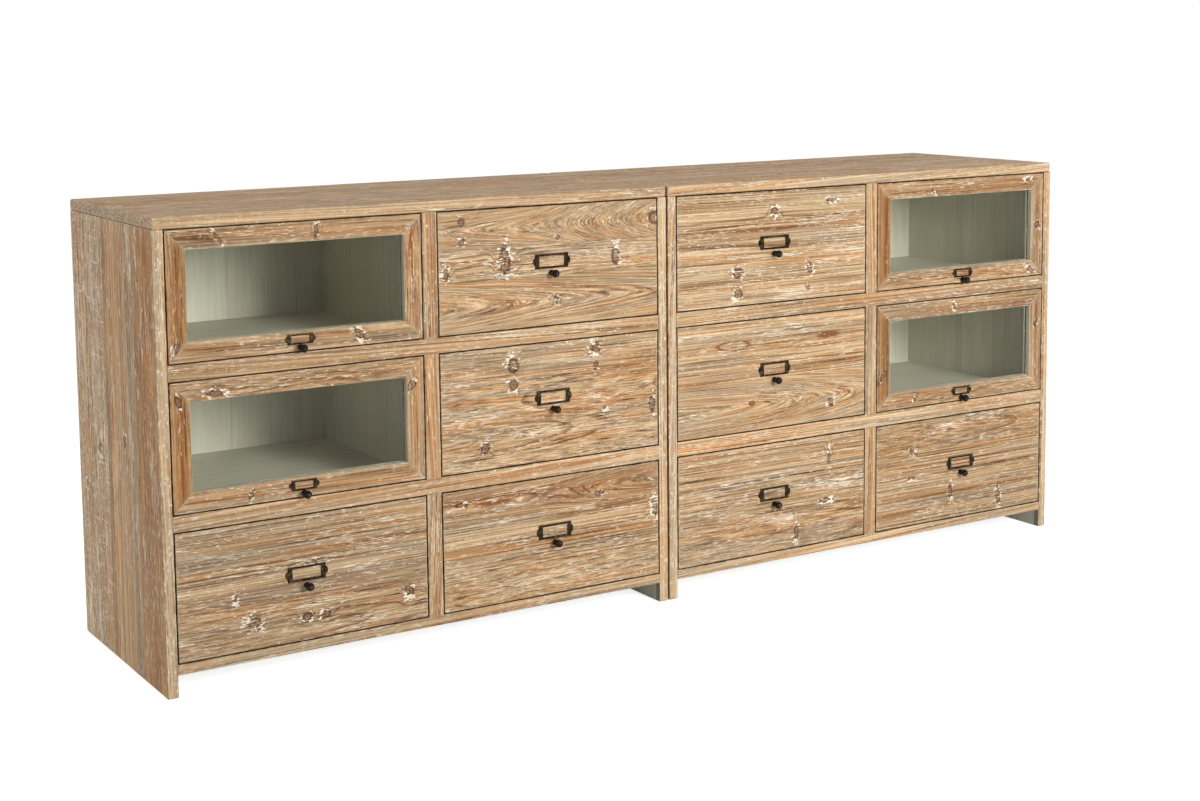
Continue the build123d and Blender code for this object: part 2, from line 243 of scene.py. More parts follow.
def grain_places(rng, corner, plank, borders, centre, flames):
    """Places in the grain of each plank: along it, and across it and through it from the pith.

    The pith lies at random beside each plank and slopes a little. In a flamed plank the depth grows away from
    the middle line and along the board instead, so that the rings are cut as chevrons.
    """
    count = len(borders) - 1
    lines = (borders[1:] + borders[:-1]) / 2
    pith = np.stack(
        [
            rng.uniform(-9, 9, count),
            lines + rng.normal(0, 0.035, count),
            centre[2] + rng.choice([-1, 1], count) * rng.uniform(0.016, 0.07, count),
        ],
        1,
    )
    slope = rng.normal(0, 0.03, count)
    grain = corner - pith[plank][:, None, :] * np.array([-1, 1, 1])
    ahead = corner[..., 0] - centre[0]
    grain[..., 2] += slope[plank][:, None] * ahead
    for number, (first, second, closeness) in flames.items():
        flamed = plank == number
        beside = corner[flamed, :, 1] - lines[number]
        aside = np.hypot(beside, FLAME_TIP)
        turned = np.hypot(ahead[flamed], FLAME_TURN)
        onward = (first + second) / 2 * ahead[flamed] + (second - first) / 2 * turned
        grain[flamed, :, 1] = FLAME_PITCH * number + FLAME_FIBRES * beside
        spread = aside * (FLAME_SPREAD + aside / FLAME_CURVE)
        grain[flamed, :, 2] = FLAME_DEPTH + closeness * (spread + onward)
    return grain


def knot_places(corner, middle, knots, low, size):
    """Places from the nearest knot, in its half lengths and half heights, and that knot's half height."""
    places = np.full(corner.shape, FAR_FROM_KNOTS)
    if len(knots):
        marks = np.array(knots, float)
        centres = marks[:, :2] * size + low
        ways = np.linalg.norm(middle[:, None] - centres[None], axis=2) / np.abs(marks[:, 3])
        near = ways.argmin(1)
        places[..., :2] = (corner[..., :2] - centres[near][:, None]) / np.abs(marks[near, 2:4])[:, None]
        places[..., 2] = marks[near, 3][:, None]
    return places


def board(
    spans, axes, rounding, seed, seams=(), step=STEP, soft=(X, Y, Z), paint=(), wear=0.5, looks=None,
    mitre=None, knots=None, flames=None, pale=0.0, gap_shade=NO_GAP_SHADE, edge_looks=None
):
    """One board, or several planks glued edge to edge: a lattice block with rounded, unevenly worn edges.

    axes are the directions along the grain, across the planks and through the board. soft holds the axes
    along which the edges are rounded. paint holds pairs of a painted side and the limits of its paint. looks
    holds the tone, warmth and lime of each plank, and edge_looks those of the front edge at its two ends,
    where they differ. A mitred board is drawn in along the grain by as much as a place is away from its outer
    edge. knots holds each knot's share along the grain and across it, and its half length and half height; a
    half height below zero is an eye in the grain. flames holds, by plank, the slopes of its chevrons in the
    first and the second half of the board, and how close they lie. pale is the rubbing over the whole front
    edge. The last argument holds the share of painted shade behind the front edge, which stands for the
    shadow in the gaps, how deep it goes, and the one side that has it, or None for all.
    """
    rng = np.random.default_rng(seed)
    along, wide, through = axes
    low, high = np.array([s[0] for s in spans]), np.array([s[1] for s in spans])
    size, centre = high - low, (low + high) / 2
    cuts = [low[wide] + share * size[wide] for share in seams]
    borders = np.concatenate([[low[wide]], cuts, [high[wide]]])
    flames = dict(flames or {})
    limits = [[limit for _, box in paint for limit in box.get(a, ())] for a in range(3)]
    for number in flames:
        limits[wide] += [(borders[number] + borders[number + 1]) / 2 + shift for shift in TIP_ROWS]
    limits[along] += [centre[along]]
    limits[Y] += [low[Y] + gap_shade[1], low[Y] + gap_shade[1] + GAP_SHADE_FADE]
    places = [ticks(low[a], high[a], rounding, step, cuts if a == wide else (), limits[a]) for a in range(3)]
    index, quads, sides = skin(places)
    square = np.stack([places[a][index[:, a]] for a in range(3)], 1)
    points = worn_places(square, low, high, rounding, seed + 1, wear, soft)

    middle = square[quads].mean(1)
    plank = np.searchsorted(np.array(cuts), middle[:, wide]) if cuts else np.zeros(len(quads), int)
    finish = np.zeros(len(quads), int)
    for side, box in paint:
        inside = sides == side
        for a, (start, end) in box.items():
            inside &= (middle[:, a] > start) & (middle[:, a] < end)
        finish[inside] = 1

    corner = points[quads][..., [along, wide, through]]
    grain = grain_places(rng, corner, plank, borders, centre[[along, wide, through]], flames)
    if looks is None:
        count = len(borders) - 1
        looks = np.stack([rng.normal(0, 1, count), rng.normal(0, 1, count), rng.random(count)], 1)
    looks = np.array(looks, float)[plank]
    if edge_looks is not None:
        edge = sides == FRONT
        share = (middle[edge, along] - low[along]) / size[along]
        first, last = np.array(edge_looks, float)
        looks[edge] = first + (last - first) * share[:, None]
    if knots is None:
        knots = scattered(rng, size[along], size[wide])
    face = [along, wide]
    knot = knot_places(corner, middle[:, face], knots, low[face], size[face])
    if mitre is not None:
        outer = high[wide] if mitre > 0 else low[wide]
        drawn = 1 - (np.abs(points[:, wide] - outer) + MITRE_OPENING) / (size[along] / 2)
        points[:, along] = centre[along] + (points[:, along] - centre[along]) * drawn
    return {
        "points": points,
        "quads": quads,
        "finish": finish,
        "grain": grain,
        "knot": knot,
        "plank": looks,
        "wear": wear_and_gap_shade_marks(square, low, high, along, wide, cuts, pale, gap_shade),
    }


def piece(name, boards, finishes, body, node):
    """One mesh of several boards: it rides on a body and stands for a CAD node."""
    starts = np.cumsum([0] + [len(b["points"]) for b in boards])
    points = np.concatenate([b["points"] for b in boards])
    quads = np.concatenate([b["quads"] + start for b, start in zip(boards, starts)])
    finish = np.concatenate([b["finish"] for b in boards])
    mesh = bpy.data.meshes.new(name)
    mesh.vertices.add(len(points))
    mesh.vertices.foreach_set("co", points.astype(np.float32).ravel())
    mesh.loops.add(quads.size)
    mesh.loops.foreach_set("vertex_index", quads.astype(np.int32).ravel())
    mesh.polygons.add(len(quads))
    mesh.polygons.foreach_set("loop_start", np.arange(0, quads.size, 4, dtype=np.int32))
    mesh.polygons.foreach_set("material_index", finish.astype(np.int32))
    mesh.update(calc_edges=True)
    for label, domain in (("grain", "CORNER"), ("plank", "CORNER"), ("knot", "CORNER"), ("wear", "POINT")):
        values = np.concatenate([b[label] for b in boards])
        if label == "plank":
            values = np.repeat(values, 4, axis=0)
        layer = mesh.attributes.new(label, "FLOAT_VECTOR", domain)
        layer.data.foreach_set("vector", values.astype(np.float32).ravel())
    mesh.shade_smooth()
    for material in finishes:
        mesh.materials.append(material)
    made = bpy.data.objects.new(name, mesh)
    bpy.context.scene.collection.objects.link(made)
    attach(made, body)
    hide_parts(node)
    return made


# Finishes


class Nodes:
    """A node tree, with a short call for each kind of node."""

    def __init__(self, tree):
        self.tree = tree
        tree.nodes.clear()

    def node(self, kind, inputs=(), **settings):
        """A node with its settings, and each input linked to a socket or set to a value."""
        made = self.tree.nodes.new(kind)
        for key, value in settings.items():
            setattr(made, key, value)
        for key, value in dict(inputs).items():
            if isinstance(value, bpy.types.NodeSocket):
                self.tree.links.new(value, made.inputs[key])
            else:
                made.inputs[key].default_value = value
        return made

    def sum(self, operation, a, b=0.0, c=0.0, clamp=False):
        made = self.node("ShaderNodeMath", {0: a, 1: b, 2: c}, operation=operation, use_clamp=clamp)
        return made.outputs[0]

    def fold(self, operation, values):
        """One operation over several values, in their order."""
        total = values[0]
        for value in values[1:]:
            total = self.sum(operation, total, value)
        return total

    def add(self, *values):
        return self.fold("ADD", values)

    def times(self, *values):
        return self.fold("MULTIPLY", values)

    def most(self, *values):
        return self.fold("MAXIMUM", values)

    def line(self, value, gain, start):
        """A value times a gain, plus a start."""
        return self.sum("MULTIPLY_ADD", value, gain, start)

    def rise(self, value, low, high, start=0.0, end=1.0):
        """A smooth step of a value from start at low to end at high."""
        inputs = {0: value, 1: low, 2: high, 3: start, 4: end}
        made = self.node("ShaderNodeMapRange", inputs, interpolation_type="SMOOTHSTEP", clamp=True)
        return made.outputs[0]

    def seen_directly(self):
        """1 for a camera, mirror or glass ray that has met no matt surface, and 0 for any other."""
        rays = self.node("ShaderNodeLightPath").outputs
        seen = self.most(rays["Is Camera Ray"], rays["Is Glossy Ray"], rays["Is Transmission Ray"])
        return self.times(seen, self.sum("LESS_THAN", rays["Diffuse Depth"], 0.5))


class Finish(Nodes):
    """The node tree of a new material."""

    def __init__(self, name):
        self.material = bpy.data.materials.new(name)
        self.material.use_nodes = True
        super().__init__(self.material.node_tree)

    def vector(self, operation, a, b):
        return self.node("ShaderNodeVectorMath", {0: a, 1: b}, operation=operation).outputs[0]

    def attribute(self, name):
        return self.node("ShaderNodeAttribute", attribute_name=name).outputs["Vector"]

    def parts(self, vector):
        return self.node("ShaderNodeSeparateXYZ", {0: vector}).outputs

    def join(self, x, y, z):
        return self.node("ShaderNodeCombineXYZ", {0: x, 1: y, 2: z}).outputs[0]

    def noise(self, vector, detail=2.0, roughness=0.5):
        inputs = {"Vector": vector, "Scale": 1.0, "Detail": detail, "Roughness": roughness}
        return self.node("ShaderNodeTexNoise", inputs, noise_dimensions="3D").outputs[0]

    def streaks(self, grain, along, wide, shift=0.0, detail=2.0, roughness=0.5):
        """Noise in the grain, scaled along the fibres and across them."""
        scaled = self.vector("MULTIPLY", grain, (along, wide, wide))
        return self.noise(self.vector("ADD", scaled, (shift, shift, shift)), detail, roughness)

    def mix(self, share, a, b, blend="MIX"):
        made = self.node("ShaderNodeMix", {0: share, 6: a, 7: b}, data_type="RGBA", blend_type=blend)
        return made.outputs[2]

    def bump(self, height, distance, strength):
        inputs = {"Height": height, "Distance": distance, "Strength": strength}
        return self.node("ShaderNodeBump", inputs).outputs[0]

    def close(self, **inputs):
        """Ends the tree with a Principled BSDF."""
        names = {key.replace("_", " "): value for key, value in inputs.items()}
        shader = self.node("ShaderNodeBsdfPrincipled", names)
        self.node("ShaderNodeOutputMaterial", {0: shader.outputs[0]})
        return self.material


def tint(red, green, blue):
    """A colour given as sRGB 0 to 255, as the linear colour that a socket takes."""
    parts = np.array([red, green, blue]) / 255
    linear = np.where(parts <= 0.04045, parts / 12.92, ((parts + 0.055) / 1.055) ** 2.4)
    return (*linear.tolist(), 1.0)


HONEY = tint(240, 202, 160)
WEATHERED = (tint(128, 108, 84), tint(196, 178, 150))
EYE_BROWN = tint(132, 82, 48)
KNOT_BROWN = (tint(86, 56, 36), tint(148, 108, 74))
KNOT_RIM = tint(72, 46, 30)
# Painted shade in the dents round knots
DENT_SHADE_BROWN = tint(108, 74, 48)
LIME_WHITE = tint(242, 231, 210)
END_GRAIN = (tint(96, 74, 54), tint(212, 194, 168))
RUBBED_EDGE = tint(210, 186, 150)
# Brown of the joints, also laid as painted shade in the gaps behind front edges, and the deeper painted shade
# there
JOINT_AND_GAP_SHADE_BROWN = tint(74, 54, 38)
GAP_SHADE_BROWN = tint(42, 30, 21)
RING_WIDTH = 0.006


def knot_marks(f, grain, worn):
    """Knots and eyes, by the roughened distance from the nearest one.

    A knot has a dark core with a paler ring in it, a dark rim, and a ring of lime and dents around it, the
    dents darkened with painted shade. An eye is a brown patch. Both swell the growth rings nearby.
    """
    sideways, upwards, height = f.parts(f.attribute("knot"))
    square = f.add(f.times(sideways, sideways), f.times(upwards, upwards))
    rough = f.line(f.streaks(grain, 90.0, 120.0, detail=3.0), 1.0, -0.5)
    off = f.add(f.sum("SQRT", square), rough)
    is_knot = f.sum("GREATER_THAN", height, 0.0)
    ring = f.times(f.rise(off, 3.0, 1.1), f.rise(off, 0.6, 1.1, 0.25, 1.0), is_knot)
    return {
        "swell": f.times(f.sum("POWER", 0.72, square), f.times(f.sum("ABSOLUTE", height), 1.6)),
        "core": f.times(f.rise(off, 1.1, 0.8), is_knot),
        "heart": f.times(f.rise(off, 0.15, 0.4), f.rise(off, 0.8, 0.5)),
        "rim": f.times(f.rise(off, 0.6, 1.0), f.rise(off, 1.4, 1.0), is_knot),
        "eye": f.times(f.rise(off, 1.7, 0.9), f.sum("SUBTRACT", 1.0, is_knot)),
        "ring": f.times(ring, f.rise(worn, 0.4, 0.58, 0.1, 1.0)),
    }


def growth_rings(f, grain, knots):
    """The dark line of each ring and the soft wood after it: shells round the pith, bent by slow noise."""
    u, v, w = f.parts(grain)
    slow = f.streaks(grain, 1.2, 6.0)
    quick = f.streaks(grain, 5.0, 60.0, 7.3, detail=3.0)
    bend = f.add(f.line(slow, 0.018, -0.009), f.line(quick, 0.004, -0.002))
    wide = f.add(v, bend)
    deep = f.add(w, f.line(quick, 0.005, -0.0025))
    radius = f.sum("SQRT", f.add(f.times(wide, wide), f.times(deep, deep)))
    count = f.sum("DIVIDE", f.add(radius, knots["swell"]), RING_WIDTH)
    share = f.sum("FRACT", count)
    late = f.times(f.rise(share, 0.58, 0.9), f.rise(share, 1.0, 0.95))
    soft = f.times(f.rise(share, 0.0, 0.08), f.rise(share, 0.45, 0.12))
    strong = f.noise(f.join(f.times(count, 0.45), f.times(u, 2.0), 3.1))
    strong = f.most(f.rise(strong, 0.42, 0.68, 0.12, 1.0), knots["eye"])
    return f.times(late, strong), f.times(soft, strong)


def limed_pine(name, light, dark, lime_share, brushed=1.0):
    """Wire-brushed pine with lime left in the grain.

    Dark latewood stands proud of the worn earlywood, under long fine streaks. White lime stays in dashes
    along the grain, in the soft wood beside each dark line, in chips round the knots and on rubbed edges,
    and in saw marks. Joints and end grain are darker. Painted shade darkens the dents round the knots, and
    the faces in the gaps behind the front edge, where shadow falls.
    """
    f = Finish(name)
    grain = f.attribute("grain")
    plank_tone, plank_warmth, plank_lime = f.parts(f.attribute("plank"))
    rubbed, joints_and_gap_shade, end_grain = f.parts(f.attribute("wear"))
    chips = f.streaks(grain, 130.0, 270.0, 8.8, roughness=0.6)
    worn = f.streaks(grain, 60.0, 60.0, 3.7, detail=3.0)
    knots = knot_marks(f, grain, worn)
    late, soft = growth_rings(f, grain, knots)

    # Fibres, in long fine streaks
    fine = f.streaks(grain, 2.6, 400.0, detail=3.0, roughness=0.6)
    broad = f.streaks(grain, 1.4, 120.0, 2.9, detail=3.0, roughness=0.6)
    mottle = f.streaks(grain, 240.0, 330.0, 1.3)
    hair = f.rise(f.streaks(grain, 2.4, 300.0, 17.7), 0.59, 0.66)
    streak = f.add(f.rise(fine, 0.34, 0.66, 0.56, 1.25), f.rise(broad, 0.3, 0.7, -0.07, 0.07))
    streak = f.add(streak, f.rise(mottle, 0.3, 0.7, -0.06, 0.06))
    streak = f.sum("SUBTRACT", streak, f.times(hair, 0.46))
    streak = f.line(streak, brushed, 1 - brushed)
    brown = f.join(streak, f.sum("POWER", streak, 1.15), f.sum("POWER", streak, 1.35))
    colour = f.mix(1.0, f.mix(f.times(late, 0.9), light, dark), brown, "MULTIPLY")

    # Warm and weathered patches, and the tone of each plank
    warm = f.streaks(grain, 1.6, 90.0, 23.1, detail=3.0)
    patch = f.streaks(grain, 2.2, 40.0, 11.7, detail=3.0)
    honey = f.mix(1.0, colour, HONEY, "MULTIPLY")
    colour = f.mix(f.rise(warm, 0.48, 0.64, 0.0, 0.7 * brushed), colour, honey)
    grey = f.mix(f.rise(fine, 0.35, 0.65), *WEATHERED)
    colour = f.mix(f.rise(patch, 0.48, 0.64, 0.0, 0.6 * brushed), colour, grey)
    band = f.rise(f.streaks(grain, 0.7, 60.0, 41.9), 0.36, 0.64, -0.08, 0.08)
    tone = f.add(f.line(plank_tone, 0.07, 1.0), band)
    toned = f.join(tone, f.line(plank_warmth, -0.04, tone), f.line(plank_warmth, -0.08, tone))
    colour = f.mix(1.0, colour, toned, "MULTIPLY")

    # Eyes, knots, and painted shade in the dents round them
    colour = f.mix(f.times(knots["eye"], f.line(late, 0.7, 0.2)), colour, EYE_BROWN)
    core = f.times(knots["core"], f.rise(chips, 0.35, 0.6, 0.95, 0.7))
    colour = f.mix(core, colour, f.mix(knots["heart"], *KNOT_BROWN))
    colour = f.mix(f.times(knots["rim"], 0.85), colour, KNOT_RIM)
    dent_shade = f.times(f.rise(chips, 0.45, 0.36), knots["ring"])
    colour = f.mix(f.times(dent_shade, 0.7), colour, DENT_SHADE_BROWN)

    # Lime, in dashes along the grain, chips round the knots and on the rubbed edges, flecks and saw marks
    often = f.streaks(grain, 6.0, 50.0, 31.3, detail=3.0)
    level = f.add(f.line(often, 0.3, lime_share - 0.15), f.times(soft, 0.1))
    level = f.add(level, f.line(plank_lime, 0.06, -0.03))
    dash = f.rise(f.add(f.streaks(grain, 54.0, 450.0, 5.5), level), 0.6, 0.68)
    bare = f.times(rubbed, f.rise(worn, 0.35, 0.65, 0.0, 0.16))
    bare = f.line(plank_lime, 0.07, bare)
    chip = f.rise(f.add(chips, f.add(f.times(knots["ring"], 0.26), bare)), 0.73, 0.77)
    often = f.add(f.line(often, 0.64, lime_share - 0.325), f.times(plank_lime, 0.04))
    flecks = f.streaks(grain, 26.0, 540.0, 12.1, roughness=0.6)
    specks = f.rise(f.add(flecks, often), 0.69, 0.73)
    saw = f.rise(f.streaks(grain, 230.0, 20.0, 6.6), 0.6, 0.66)
    saw = f.times(saw, f.rise(plank_lime, 1.0, 1.2, 0.0, 0.5), f.rise(patch, 0.42, 0.54))
    lime = f.most(f.times(dash, 0.6), saw, chip, specks)
    colour = f.mix(lime, colour, LIME_WHITE)

    # End grain, rubbed edges, joints, and painted shade for the shadow in the gaps behind the front edge
    butt = f.mix(f.rise(chips, 0.38, 0.62), *END_GRAIN)
    colour = f.mix(f.times(end_grain, f.rise(worn, 0.35, 0.6, 0.2, 0.85)), colour, butt)
    colour = f.mix(f.times(rubbed, f.rise(worn, 0.35, 0.65, 0.15, 0.6)), colour, RUBBED_EDGE)
    joint_and_shade_mix = f.times(f.sum("MINIMUM", joints_and_gap_shade, 1.0), f.rise(worn, 0.3, 0.6, 0.95, 0.25))
    colour = f.mix(joint_and_shade_mix, colour, JOINT_AND_GAP_SHADE_BROWN)
    colour = f.mix(f.sum("SUBTRACT", joints_and_gap_shade, 1.0, clamp=True), colour, GAP_SHADE_BROWN)

    height = f.add(f.times(late, 0.5), f.times(fine, 0.9))
    height = f.sum("SUBTRACT", height, f.times(f.most(lime, dent_shade), 0.3))
    normal = f.bump(height, 0.0009 * brushed, 0.8)
    gloss = f.rise(fine, 0.2, 0.8, 0.58, 0.72)
    return f.close(Base_Color=colour, Roughness=gloss, Normal=normal, Specular_IOR_Level=0.2)


def painted_pine(name):
    """Pale grey-green paint over brushed boards: streaks along the grain, clouds, and dark joints.

    Near the front edge it also takes painted shade, standing for the shadow in the gaps.
    """
    f = Finish(name)
    grain = f.attribute("grain")
    plank_tone = f.parts(f.attribute("plank"))[0]
    joints_and_gap_shade = f.parts(f.attribute("wear"))[1]
    brush = f.streaks(grain, 6.0, 220.0, detail=3.0, roughness=0.6)
    cloud = f.streaks(grain, 4.0, 18.0, 4.4)
    colour = f.mix(f.rise(brush, 0.3, 0.7), tint(203, 199, 179), tint(215, 212, 194))
    colour = f.mix(f.rise(cloud, 0.4, 0.75, 0.0, 0.4), colour, tint(198, 192, 170))
    tone = f.line(plank_tone, 0.02, 1.0)
    colour = f.mix(1.0, colour, f.join(tone, tone, tone), "MULTIPLY")
    # Dark joints, and painted shade for the shadow in the gaps behind the front edge
    colour = f.mix(f.times(joints_and_gap_shade, 0.5), colour, tint(110, 102, 84))
    normal = f.bump(brush, 0.0006, 0.3)
    return f.close(Base_Color=colour, Roughness=0.6, Normal=normal, Specular_IOR_Level=0.25)


def dark_bronze(name, dark, rubbed, polish):
    """Dark brown bronze, rubbed brighter in patches, under a share of polish."""
    f = Finish(name)
    place = f.node("ShaderNodeTexCoord").outputs["Object"]
    rub = f.noise(f.vector("MULTIPLY", place, (160.0, 160.0, 160.0)), 3.0)
    colour = f.mix(f.rise(rub, 0.4, 0.75), dark, rubbed)
    gloss = f.rise(rub, 0.3, 0.7, 0.24, 0.14)
    return f.close(Base_Color=colour, Metallic=0.9, Roughness=gloss, Coat_Weight=polish, Coat_Roughness=0.2)


def brushed_steel(name):
    """Grey steel with a fine grain."""
    f = Finish(name)
    place = f.node("ShaderNodeTexCoord").outputs["Object"]
    grain = f.noise(f.vector("MULTIPLY", place, (900.0, 120.0, 120.0)))
    colour = f.mix(grain, tint(120, 120, 122), tint(168, 168, 170))
    return f.close(Base_Color=colour, Metallic=1.0, Roughness=0.38)


def window_glass(name):
    """Clear glass that lets light and shadow rays through."""
    f = Finish(name)
    clear_white = (0.96, 0.97, 0.96, 1.0)
    inputs = {"Base Color": clear_white, "Roughness": 0.0, "Transmission Weight": 1.0, "IOR": 1.15}
    pane = f.node("ShaderNodeBsdfPrincipled", inputs)
    clear = f.node("ShaderNodeBsdfTransparent", {0: (0.94, 0.96, 0.95, 1.0)})
    ray = f.node("ShaderNodeLightPath").outputs["Is Shadow Ray"]
    both = f.node("ShaderNodeMixShader", {0: ray, 1: pane.outputs[0], 2: clear.outputs[0]})
    f.node("ShaderNodeOutputMaterial", {0: both.outputs[0]})
    return f.material


PINE = limed_pine("limed_pine_boards", tint(199, 167, 127), tint(130, 87, 52), -0.004)
PAINT = painted_pine("painted_pine_boards")
PLAIN = limed_pine("plain_drawer_pine", tint(218, 192, 154), tint(194, 158, 118), -0.12, 0.4)
BRONZE = dark_bronze("dark_bronze_holders", tint(28, 22, 16), tint(88, 70, 46), 0.0)
KNOB_BRONZE = dark_bronze("dark_bronze_knobs", tint(20, 14, 10), tint(58, 42, 28), 0.12)
STEEL = brushed_steel("steel_fixings")
GLASS = window_glass("clear_window_glass")

# Case: where planks are joined, and the tone, warmth and lime of planks and front edges

TOP_SEAMS = (0.18, 0.36, 0.6, 0.78)
SIDE_SEAMS = (0.25, 0.34, 0.5, 0.57, 0.61)
SHELF_SEAMS = (0.36, 0.7)
BACK_SEAMS = tuple(np.arange(1, 7) / 7)
TOP_LOOKS = ((-0.8, 1.2, 0.3), (-2.0, 0.9, 0.5), (-0.6, 1.2, 0.4), (-2.4, 1.5, 0.3), (-1.2, 0.9, 0.4))
SIDE_LOOKS = (
    (-2.8, 4.6, 0.6), (-2.2, -0.6, 0.5), (0.2, 1.8, 0.4),
    (1.2, 1.0, 0.4), (-4.4, 2.2, 0.2), (-0.8, 1.2, 1.3),
)
SHELF_LOOKS = ((0.4, 0.6, 0.4), (0.8, 0.4, 0.5), (0.2, 0.6, 0.5))
DIVIDER_LOOKS = ((-0.4, 0.8, 0.3), (0.2, 0.6, 0.5), (-0.4, 0.8, 0.5))
TOP_EDGE_LOOKS = {
    "left": ((0.6, 0.2, 0.4), (1.4, 0.0, 0.4)),
    "right": ((2.6, -0.6, 0.4), (3.4, -0.8, 0.4)),
}
SHELF_EDGE_LOOKS = {
    "left": (
        ((-0.5, 1.0, 0.3), (1.4, 0.8, 0.3)),
        ((-2.0, 1.4, 0.3), (3.2, 1.3, 0.3)),
        ((-2.8, 1.8, 0.3), (1.8, 1.6, 0.3)),
    ),
    "right": (
        ((1.8, 0.6, 0.3), (5.4, 0.4, 0.3)),
        ((6.8, 1.0, 0.2), (1.2, 0.6, 0.3)),
        ((2.2, 1.3, 0.3), (-4.0, 2.0, 0.3)),
    ),
}
SIDE_EDGE_LOOKS = ((3.2, -0.7, 0.7), (3.2, -0.7, 0.7))
DIVIDER_EDGE_LOOKS = ((0.1, 1.8, 0.2), (0.1, 1.8, 0.2))

# Wear of the top and sides, and the share and depth of the painted shade that stands for the shadow in the
# gaps
TOP_WEAR = 0.35
TOP_PALE = 0.4
SIDE_PALE = 0.7
CASE_GAP_SHADE = (0.7, 0.012)
DRAWER_GAP_SHADE = (0.9, 0.007)
FLAP_GAP_SHADE = 0.6

# Paint in the glazed compartments
PAINTED_DEPTH = (CASE_FRONT + 0.0205, CASE_BACK)
PAINTED_ROWS = (BOTTOM_TOP + ROW_PITCH, CASE_HEIGHT)


def case_unit(unit, seed):
    """The top, sides, shelves and dividers of one unit, with paint in its compartments and about its feet.

    Returns the last seed.
    """
    outward = 0 if UNITS[unit] < 0 else 1
    inward = 1 - outward
    case_depth, board_depth = (CASE_FRONT, CASE_BACK), (CASE_FRONT, BOARD_BACK)
    glazed = {X: across(unit, SIDE, SIDE + COLUMN), Y: PAINTED_DEPTH}
    wall = {Y: PAINTED_DEPTH, Z: PAINTED_ROWS}
    foot = {Z: (-FOOT, FOOT)}

    spans = (across(unit, 0, UNIT_WIDTH), case_depth, (TOP_UNDERSIDE, CASE_HEIGHT))
    top = board(
        spans, (X, Y, Z), TOP_ROUNDING, seed, TOP_SEAMS, wear=TOP_WEAR, paint=((UNDER, glazed),),
        looks=TOP_LOOKS, pale=TOP_PALE, edge_looks=TOP_EDGE_LOOKS[unit]
    )
    piece(f"{unit}_top_boards", [top], (PINE, PAINT), "case", f"{unit}_top")

    sides = []
    outer_paint = ((inward, wall), (inward, foot))
    inner_paint = ((outward, foot),)
    # Sides, shelves and dividers take painted shade behind their front edges, for the shadow in the gaps
    for start, face, paint in ((0, inward, outer_paint), (UNIT_WIDTH - SIDE, outward, inner_paint)):
        seed += 1
        spans = (across(unit, start, start + SIDE), case_depth, (0, TOP_UNDERSIDE))
        side = board(
            spans, (Z, Y, X), SIDE_ROUNDING, seed, SIDE_SEAMS, paint=paint, looks=SIDE_LOOKS,
            pale=SIDE_PALE, edge_looks=SIDE_EDGE_LOOKS, gap_shade=(*CASE_GAP_SHADE, face)
        )
        sides.append(side)
    piece(f"{unit}_side_boards", sides, (PINE, PAINT), "case", f"{unit}_sides")

    shelves, dividers = [], []
    shelf_paint = (((UNDER, {}),), ((UPPER, glazed),), ((UNDER, glazed), (UPPER, glazed)))
    for row in range(3):
        seed += 2
        floor = BOTTOM_TOP + row * ROW_PITCH
        level = (FOOT if row == 0 else floor - SHELF, floor)
        spans = (across(unit, SIDE, UNIT_WIDTH - SIDE), board_depth, level)
        shelf = board(
            spans, (X, Y, Z), SHELF_ROUNDING, seed, SHELF_SEAMS, soft=(Y, Z), paint=shelf_paint[row],
            looks=SHELF_LOOKS, edge_looks=SHELF_EDGE_LOOKS[unit][row], gap_shade=(*CASE_GAP_SHADE, None)
        )
        shelves.append(shelf)
        edges = across(unit, SIDE + COLUMN, SIDE + COLUMN + DIVIDER)
        spans = (edges, board_depth, (floor, floor + ROW_HEIGHT))
        paint = ((outward, {Y: PAINTED_DEPTH}),) if row else ()
        divider = board(
            spans, (Z, Y, X), SHELF_ROUNDING, seed + 1, SHELF_SEAMS, soft=(X, Y), paint=paint,
            looks=DIVIDER_LOOKS, edge_looks=DIVIDER_EDGE_LOOKS, gap_shade=(*CASE_GAP_SHADE, None)
        )
        dividers.append(divider)
    piece(f"{unit}_shelf_boards", shelves, (PINE, PAINT), "case", f"{unit}_shelves")
    piece(f"{unit}_divider_boards", dividers, (PINE, PAINT), "case", f"{unit}_dividers")
    return seed


seed = 100
for unit in UNITS:
    seed = case_unit(unit, seed)
backs = []
for unit in UNITS:
    seed += 1
    width = across(unit, SIDE - REBATE, UNIT_WIDTH - SIDE + REBATE)
    spans = (width, (BOARD_BACK, CASE_BACK), (FOOT, TOP_UNDERSIDE))
    backs.append(board(spans, (Z, X, Y), BACK_ROUNDING, seed, BACK_SEAMS, soft=(), paint=((FRONT, {}),)))
piece("back_boards", backs, (PLAIN, PAINT), "case", "back_panels")

# Drawers and flaps

